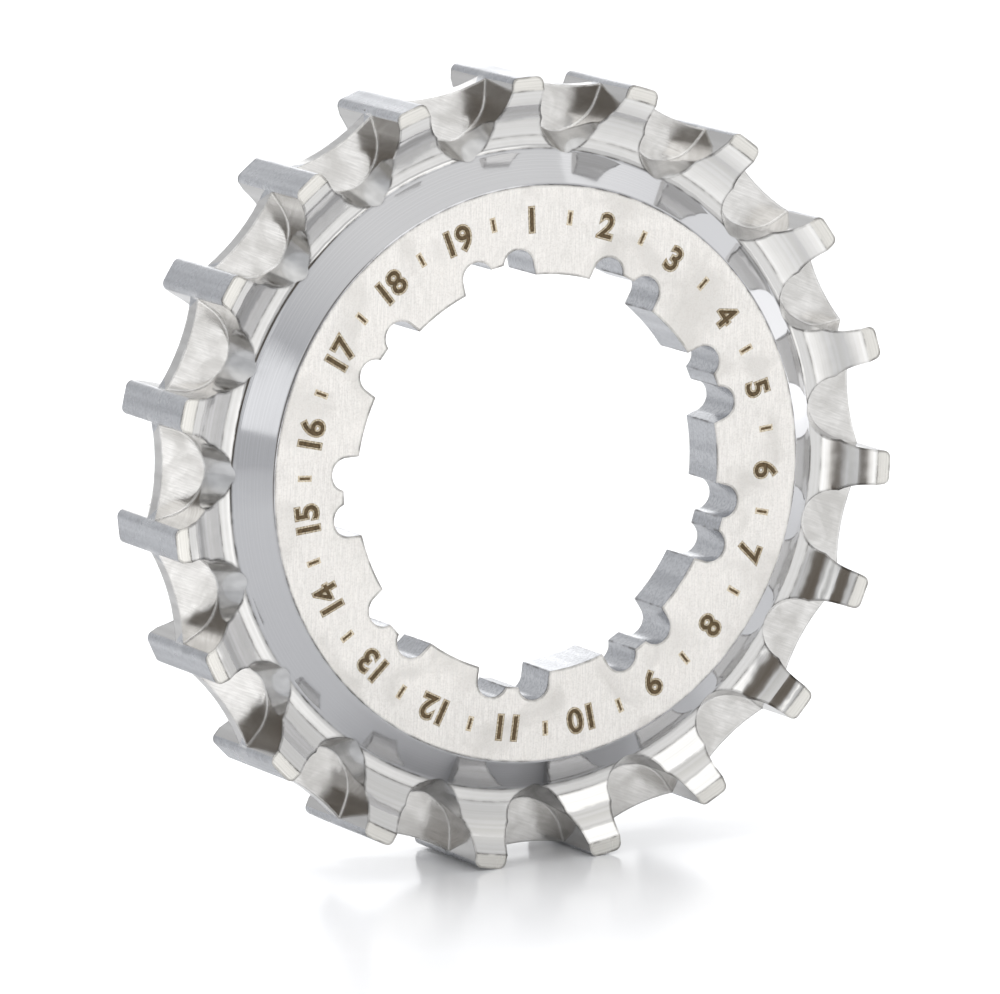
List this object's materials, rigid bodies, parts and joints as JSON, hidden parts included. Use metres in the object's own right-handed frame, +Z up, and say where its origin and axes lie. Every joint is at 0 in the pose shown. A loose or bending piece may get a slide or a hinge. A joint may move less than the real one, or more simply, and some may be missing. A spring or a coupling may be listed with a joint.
{
  "type": "belt drive sprocket",
  "caption": "Toothed belt sprocket for a bicycle rear hub, with a splined bore, a centre fin between the teeth and mud ports.",
  "frame": {"origin": "on the sprocket's axis, at the middle of the tooth width", "axes": "+Y along the axis, away from the open front face; +Z up through one tooth, so that two teeth are lowest; X across"},
  "size_m": [0.0648, 0.0114, 0.0647],
  "materials": {
    "steel": "stainless steel, turned and milled, with a fine blasted front face"
  },
  "bodies": {
    "root": {"sprocket": "steel"}
  },
  "joints": []
}
